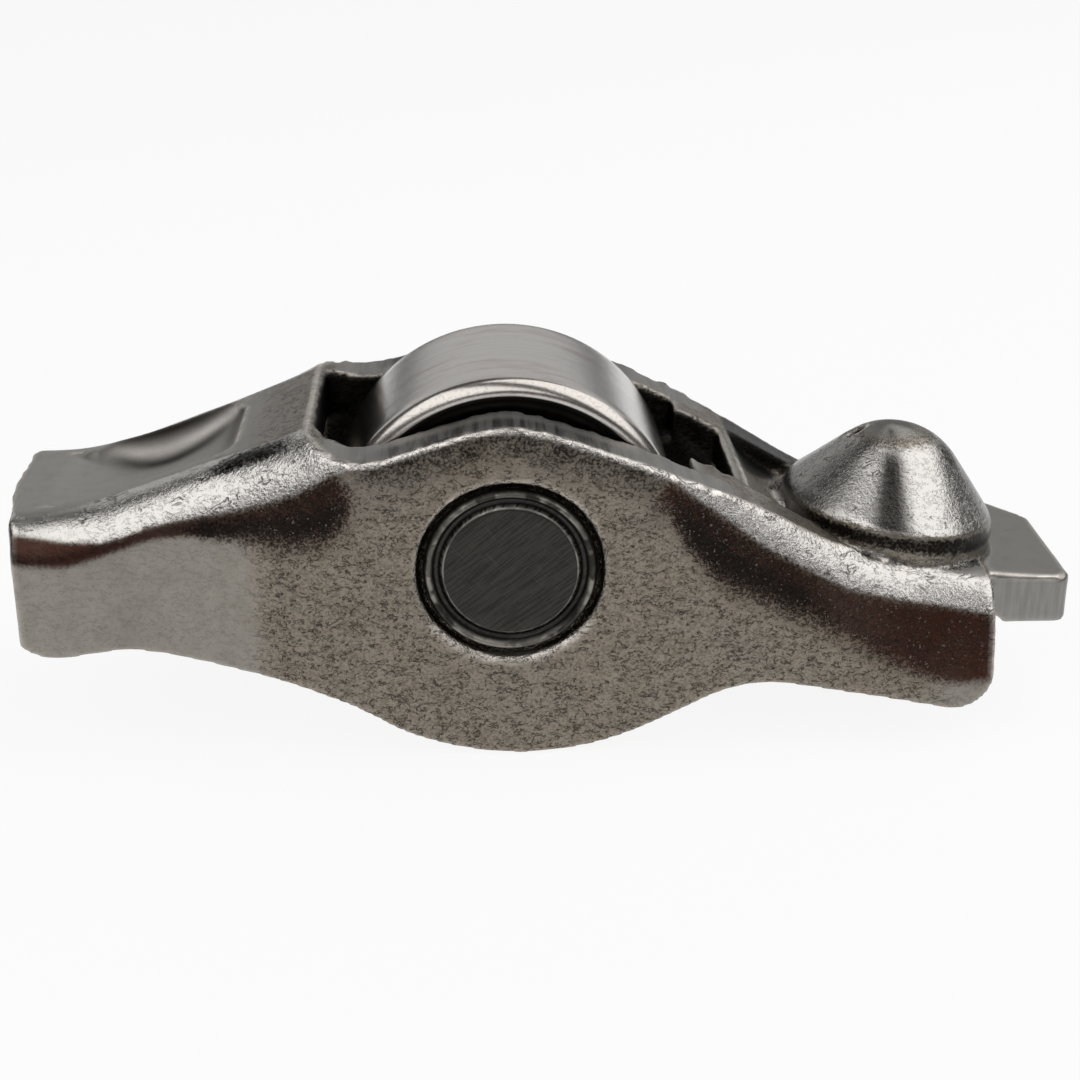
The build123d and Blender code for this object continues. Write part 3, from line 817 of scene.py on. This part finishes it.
def unlit_faces(f):
    """Faces that little light reaches: inside the window, and in the hollow by the dome."""
    inside = step(INNER_HALF - f.side, 0, 0.1) * (1 - step(f.upward, 0.5, 0.8))
    inside *= step(WINDOW_END - f.x, 0, 0.3) * step(f.x, *WINDOW_START)
    start, slope = HOLLOW_SLANT
    hollow = step(f.x, *HOLLOW_START) * (1 - step(f.x, *HOLLOW_END))
    hollow *= 1 - step(f.y, 7.0, 7.6)
    hollow *= 1 - f.dome
    hollow *= step(f.y - slope * (f.x - start), -0.7, 0.1) * step(f.z, 0.2, 0.6)
    return np.maximum(inside, hollow)


def black_and_shade_marks(f, under):
    """Black, as painted shade in the darkest part of the band under the bends, in and round the oil
    hole, in the groove round the dome's foot and on the foot; and as darker marks on the shoulder by
    the window, along the tongue, on the walls under their sheared top and at the valve end.
    """
    low_part = (f.z - f.band_bottom) / (f.band_top - f.band_bottom + 0.3)
    low_part = 1 - step(low_part, 0.35, 0.75)
    band = np.clip(on_line(f.x, BLACKENED) * (0.65 + 0.5 * low_part), 0, 1)
    shoulder = blot((f.x, f.side, f.z), (-14.2, 6.1, 5.8), (2.7, 1.1, 3.0))
    oil_hole = blot((f.x, f.y, f.z), OIL_HOLE, (1.0, 1.0, 1.0))
    tongue_line = ridge(f.z + 2.9 + 0.05 * (f.x - 28.5), 0.16)
    tongue_line *= step(f.x, 27.9, 28.1)
    tongue_line *= step(-f.y, 4.9, 5.1)
    moat = f.dome * (1 - step(f.above_foot, -0.15, 0.1)) * step(f.upward, 0.2, 0.6)
    foot = (1 - step(f.tilt, 14, 28)) * f.dome * (0.2 + 0.8 * step(f.above_foot, 0.15, 0.5))
    wall = step(np.abs(f.across), 0.75, 0.9)
    wall_top = 1 - step(on_line(f.x, SHEAR_LINE) - f.z, 0.4, 3.4)
    valve_end = (1 - step(f.x, -28.2, -27.4)) * f.outside * (1 - step(f.tilt, 60, 75))
    # painted shade: the band under the bends, the oil hole, the groove and the foot of the dome; the
    # rest are darker marks
    return np.maximum.reduce([
        under * band,
        shoulder * step(f.tilt, 46, 55),
        0.9 * oil_hole,
        0.8 * tongue_line,
        0.7 * moat,
        0.95 * foot,
        0.64 * wall * wall_top * step(9.5 - np.abs(f.x), 0, 2),
        0.6 * valve_end,
    ])


def flank_marks(f):
    """The dome's sides get a painted highlight, bright to the right, dimmed by painted shade to the
    left and at the far right, with a strip of painted shade between. The tongue is painted a little
    darker too."""
    flank_highlight = step(f.tilt, 26, 34) * (1 - step(f.tilt, 44, 72)) * f.dome
    round_it = np.degrees(np.arctan2(f.x - DOME_X, -f.y))
    dull_shade = 0.97 * np.exp(-((round_it + 9) / 11) ** 4) + 0.65 * step(-round_it, 26, 50)
    dull_shade = np.maximum(dull_shade, 0.7 * step(round_it, 50, 66)) * f.dome
    return flank_highlight, np.maximum(dull_shade, 0.36 * step(f.x, WALL_END_X, 28.6))


def recess_marks(f):
    """The recess: a painted highlight where its far wall catches the light, with painted shade under
    it and along its edge.
    """
    recess, curve = recess_field(f.x, f.y)
    faces_up = step(f.upward, 0.0, 0.3)
    recess *= faces_up
    crescent = ridge(f.y - RECESS_WALL + 2.1 * curve, 0.42) * np.sqrt(curve) * recess
    shade = np.maximum.reduce([
        ridge(f.y - RECESS_WALL + 3.3 * curve, 0.6) * curve * recess,
        recess_swell(f.x, f.y) * faces_up,
        0.45 * ridge(f.x + 15.9, 0.5) * step(f.y, -3.5, 0.5) * recess,
    ])
    return recess, crescent * (1 - shade), shade


def edge_marks(f, away, outer):
    """Bright edges, partly wear and partly painted highlight: the creases, brighter above the band
    under the bends; the ring round the axle's countersink, a painted highlight on its lower part
    only; and the walls' ends.
    """
    crease = ridge(away, 0.18 * MM) * (outer > 0)
    crease *= 0.35 + 0.65 * step(f.z - f.band_top, -1.5, 0.5)
    # painted highlight on the lower part of the ring round the countersink
    seat = ridge(np.hypot(f.x, f.z) - SEAT_RING, 0.2)
    seat *= step(-f.z, 2.6, 3.6)
    seat *= step(f.side, 8.5, 8.7)
    wall_end = ridge(f.x - WALL_END_X, 0.24) * step(f.side, 7.6, 8.2)
    wall_end *= step(f.z, -7.6, -6.8)
    return np.maximum.reduce([crease, 0.9 * seat, 0.8 * wall_end])


def grain_marks(f, bend_highlight):
    """How coarse the grain is: finest at the valve end, low on the walls beside the dome
    and on the tongue, and a little finer on the dome."""
    smoother = step(f.x, 23.0, 26.0) * (1 - step(f.z, -7.0, -5.8))
    rough = step(f.x, -15.2, -13.0) * (1 - 0.8 * smoother)
    rough += 0.6 * (bend_highlight > 0.3) * step(f.x, -27.5, -22)
    return np.clip(rough, 0.1, 1) * (1 - 0.35 * f.dome) * (1 - step(f.x, 27.6, 28.2))


# ---------------------------------------------------------------- operators

class DressArm(bpy.types.Operator):
    """Finish the pressed channel: even mesh, rounded edges, masks for its bends, cuts and web"""
    bl_idname = "rocker.dress_arm"
    bl_label = "Pressed arm"

    def execute(self, context):
        settings = context.scene.rocker_arm
        welded = bmesh.new()
        welded.from_mesh(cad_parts["arm_body"].data)
        bmesh.ops.remove_doubles(welded, verts=welded.verts, dist=1e-6)
        welded.normal_update()
        source = bpy.data.meshes.new("pressed_arm")
        welded.to_mesh(source)
        piece = new_piece("pressed_arm", source, pressed_steel(settings))
        even = piece.modifiers.new("even", "REMESH")
        even.mode = "VOXEL"
        even.voxel_size = settings.grain
        even.use_smooth_shade = True
        mesh = applied(piece)
        away, outer = drawn_on(
            mesh, welded, settings.edge_radius, settings.crease, settings.smoothing)
        welded.free()
        self.mark(mesh, away, outer)
        self.roughen(mesh, settings, away, outer)
        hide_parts("arm_body")
        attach(piece, "arm")
        return {"FINISHED"}

    @staticmethod
    def mark(mesh, away, outer):
        """Stores where the steel gets painted highlights and painted shade, and where it is sheared,
        bright at the edges, black or hidden.
        """
        f = PressedFaces(mesh)
        bend_highlight, under = bend_marks(f)
        cut, fracture = cut_marks(f)
        flank_highlight, dull_shade = flank_marks(f)
        recess, crescent, shade = recess_marks(f)
        evened = {
            "top": np.maximum(step(f.tilt, 62, 80), recess * step(f.tilt, 20, 40)),
            "bend_highlight": np.maximum(bend_highlight, 0.95 * flank_highlight),
            "under": under,
            "fracture": fracture,
            "cut": cut,
            "inner": unlit_faces(f),
            "black_and_shade": black_and_shade_marks(f, under),
            "flank_highlight": flank_highlight,
            "dull_shade": dull_shade,
            "shade": shade,
            "crescent": crescent,
        }
        pairs = edge_pairs(mesh)
        for name, values in evened.items():
            store(mesh, name, np.clip(relaxed(values, pairs, 2), 0, 1))
        store(mesh, "edge", edge_marks(f, away, outer))
        store(mesh, "coarse", grain_marks(f, bend_highlight))

    @staticmethod
    def roughen(mesh, settings, away, outer):
        """Makes the pressed faces slightly wavy and the torn edges ragged."""
        place, normal = coordinates(mesh), normals(mesh)
        upward = normal[:, 2]
        x, y, z = (place / MM).T
        beside = step(x, -11.8, -10.8) * (1 - step(x, 12.5, 14.5))
        beside = beside * step(z - on_line(x, SHEAR_LINE), -1.6, -0.8)
        valve_end = (1 - step(x, -28.3, -27.3)) * step(z, -1.5, 0.5)
        torn = ridge(away, 0.35 * MM) * (outer > 0)
        burred = ridge(away, 0.5 * MM) * (outer > 0) * valve_end
        tear = wander(place, 0.7 * MM) * torn * np.clip(beside, 0.06, 1)
        burr = burred * (0.9 * wander(place, 1.3 * MM) - 0.1)
        shift = 0.03 * MM * wander(place, 2.2 * MM) + settings.ragged * tear
        shift += settings.ragged * burr
        place += normal * shift[:, None]
        swell = recess_swell(x, y) * (upward > 0.2) * (z > 1.5)
        place[:, 2] += RECESS_SWELL * MM * swell
        mesh.vertices.foreach_set("co", place.ravel())
        mesh.update()


class DressRoller(bpy.types.Operator):
    """Turn the roller with rounded rims and a chamfered bore"""
    bl_idname = "rocker.dress_roller"
    bl_label = "Roller"

    def execute(self, context):
        settings = context.scene.rocker_roller
        radius, half, rim = ROLLER_HIGH.x, ROLLER_HIGH.y, settings.rim
        face = radius - rim - ROLLER_BORE - BORE_LAND
        face_steps, tread_steps = 4, 12
        profile = [(ROLLER_BORE, half - BORE_CHAMFER), (ROLLER_BORE + BORE_CHAMFER, half)]
        profile += [
            (ROLLER_BORE + BORE_LAND + face * i / face_steps, half)
            for i in range(face_steps)]
        profile += [(radius - rim - RIM_LIP, half)]
        profile += arc((radius - rim, half - rim), rim, 90, 0, 8)
        profile += [
            (radius, half - rim - (half - rim) * 2 * i / tread_steps)
            for i in range(1, tread_steps)]
        profile += arc((radius - rim, -half + rim), rim, 0, -90, 8)
        profile += [
            (radius - rim - RIM_LIP, -half), (ROLLER_BORE + BORE_CHAMFER, -half),
            (ROLLER_BORE, -half + BORE_CHAMFER)]
        mesh = turned("roller", profile, settings.segments)
        piece = new_piece("turned_roller", mesh, ground_steel(settings))
        place = coordinates(mesh)
        r, side = np.hypot(place[:, 0], place[:, 2]), np.abs(place[:, 1])
        corner = (side > half - rim * 0.9) & (r > radius - rim * 0.95)
        flat = (side > half - 0.01 * MM) & (r < radius - rim - 0.05 * MM)
        store(mesh, "rim", corner)
        store(mesh, "face", flat)
        store(mesh, "radius", r / MM)
        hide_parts("roller")
        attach(piece, "roller")
        return {"FINISHED"}


class DressAxle(bpy.types.Operator):
    """Turn the axle with its staked ends"""
    bl_idname = "rocker.dress_axle"
    bl_label = "Staked axle"

    def execute(self, context):
        settings = context.scene.rocker_axle
        half, spread = AXLE_HIGH.y / MM, AXLE_HIGH.x / MM
        shank, bead, chamfer = 4.5, 4.6, 3.78
        # radius and depth under the end: shank, bead spread by the staking, groove, flat end
        end = [
            (shank, 0.95), (shank, 0.85), (4.58, 0.72), (spread - 0.02, 0.5), (spread, 0.42),
            (spread - 0.04, 0.3), (4.68, 0.07), (bead, 0.01), (4.52, 0.0), (4.45, 0.03),
            (4.28, 0.42), (4.22, 0.5), (4.1, 0.52), (4.0, 0.5), (3.95, 0.44), (3.84, 0.3),
            (3.76, 0.19), (3.68, 0.15), (3.5, 0.145), (2.4, 0.14), (1.2, 0.14), (0.0, 0.14)]
        near = [(r * MM, (half - depth) * MM) for r, depth in end]
        far = [(r, -y) for r, y in reversed(near)]
        body = [(shank * MM, AXLE_HIGH.y * (2 * i / 6 - 1)) for i in range(1, 6)]
        mesh = turned("axle", near + far + body, settings.segments)
        piece = new_piece("staked_axle", mesh, axle_steel(settings))
        x, y, z = (coordinates(mesh) / MM).T
        r = np.hypot(x, z)
        store(mesh, "edge", np.abs(r - bead) < 0.2)
        store(mesh, "chamfer", (np.abs(r - chamfer) < 0.06) & (np.abs(y) > half - 0.4))
        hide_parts("roller_axle")
        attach(piece, "arm")
        return {"FINISHED"}


class DressNeedles(bpy.types.Operator):
    """Set out the row of rounded needles round the axle"""
    bl_idname = "rocker.dress_needles"
    bl_label = "Needles"

    def execute(self, context):
        settings = context.scene.rocker_needles
        first = (NEEDLE_LOW + NEEDLE_HIGH) / 2
        tree, inputs = needle_row()
        piece = new_piece("needle_row", bpy.data.meshes.new("needle_row"), needle_steel())
        row = piece.modifiers.new("row", "NODES")
        row.node_group = tree
        values = {
            "Count": len(NEEDLES),
            "Sides": settings.sides,
            "Orbit": math.hypot(first.x, first.z),
            "Radius": (NEEDLE_HIGH.x - NEEDLE_LOW.x) / 2,
            "Length": NEEDLE_HIGH.y - NEEDLE_LOW.y,
            "Rounding": settings.rounding,
            "Material": piece.data.materials[0],
        }
        for name, item in values.items():
            row[inputs[name]] = item
        applied(piece)
        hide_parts(*NEEDLES)
        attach(piece, "needles")
        return {"FINISHED"}


class BuildStudio(bpy.types.Operator):
    """Set the floor, three soft panels, the surrounding light and the camera"""
    bl_idname = "rocker.build_studio"
    bl_label = "Studio"

    def execute(self, context):
        settings = context.scene.rocker_studio
        self.lay_floor(settings)
        self.hang_lights(context.scene, settings)
        self.set_camera(context.scene, settings)
        context.scene.view_settings.view_transform = "Standard"
        return {"FINISHED"}

    @staticmethod
    def lay_floor(settings):
        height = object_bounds()[0].z - FLOOR_GAP
        low, high = -FLOOR_HALF, FLOOR_HALF
        corners = [(low, low), (high, low), (high, high), (low, high)]
        mesh = bpy.data.meshes.new("floor")
        mesh.from_pydata([(x, y, height) for x, y in corners], [], [(0, 1, 2, 3)])
        floor = new_piece("floor", mesh, floor_finish(settings))
        floor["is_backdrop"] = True

    @staticmethod
    def hang_lights(scene, settings):
        """Hangs the soft panels, and lights the surroundings evenly."""
        for place, size, turn, brightness in PANELS:
            light = bpy.data.lights.new("panel", "AREA")
            light.shape = "RECTANGLE"
            light.size, light.size_y = size
            light.energy = getattr(settings, brightness) * size[0] * size[1]
            panel = bpy.data.objects.new("panel", light)
            panel.location = place
            panel.rotation_euler = [math.radians(angle) for angle in turn]
            scene.collection.objects.link(panel)
        scene.world = bpy.data.worlds.new("surround")
        scene.world.use_nodes = True
        even = scene.world.node_tree.nodes["Background"]
        even.inputs["Color"].default_value = (1.0, 1.0, 1.0, 1.0)
        even.inputs["Strength"].default_value = settings.fill

    @staticmethod
    def set_camera(scene, settings):
        lens = bpy.data.cameras.new("camera")
        lens.sensor_width = SENSOR_WIDTH
        lens.lens = settings.focal_length
        lens.clip_start, lens.clip_end = 0.005, 20.0
        camera = bpy.data.objects.new("camera", lens)
        camera.location = Vector(CAMERA_PLACE) * MM
        camera.rotation_euler = Vector(CAMERA_AIM).to_track_quat("-Z", "Y").to_euler()
        scene.collection.objects.link(camera)
        scene.camera = camera


OPERATORS = (DressArm, DressRoller, DressAxle, DressNeedles, BuildStudio)
SETTINGS = {
    "rocker_arm": ArmSettings,
    "rocker_roller": RollerSettings,
    "rocker_axle": AxleSettings,
    "rocker_needles": NeedleSettings,
    "rocker_studio": StudioSettings,
}


class RockerPanel(bpy.types.Panel):
    bl_idname = "VIEW3D_PT_rocker_arm"
    bl_label = "Rocker arm"
    bl_space_type = "VIEW_3D"
    bl_region_type = "UI"
    bl_category = "Rocker arm"

    def draw(self, context):
        for operator in OPERATORS:
            self.layout.operator(operator.bl_idname)
        for name in SETTINGS:
            group = getattr(context.scene, name)
            for key in group.bl_rna.properties.keys():
                if key not in ("rna_type", "name"):
                    self.layout.prop(group, key)


CLASSES = tuple(SETTINGS.values()) + OPERATORS + (RockerPanel,)


def register():
    for item in CLASSES:
        bpy.utils.register_class(item)
    for name, group in SETTINGS.items():
        setattr(bpy.types.Scene, name, PointerProperty(type=group))


def unregister():
    for name in SETTINGS:
        delattr(bpy.types.Scene, name)
    for item in reversed(CLASSES):
        bpy.utils.unregister_class(item)


def main():
    register()
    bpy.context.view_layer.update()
    bpy.ops.rocker.dress_arm()
    bpy.ops.rocker.dress_roller()
    bpy.ops.rocker.dress_axle()
    bpy.ops.rocker.dress_needles()
    bpy.ops.rocker.build_studio()


if __name__ == "__main__":
    main()
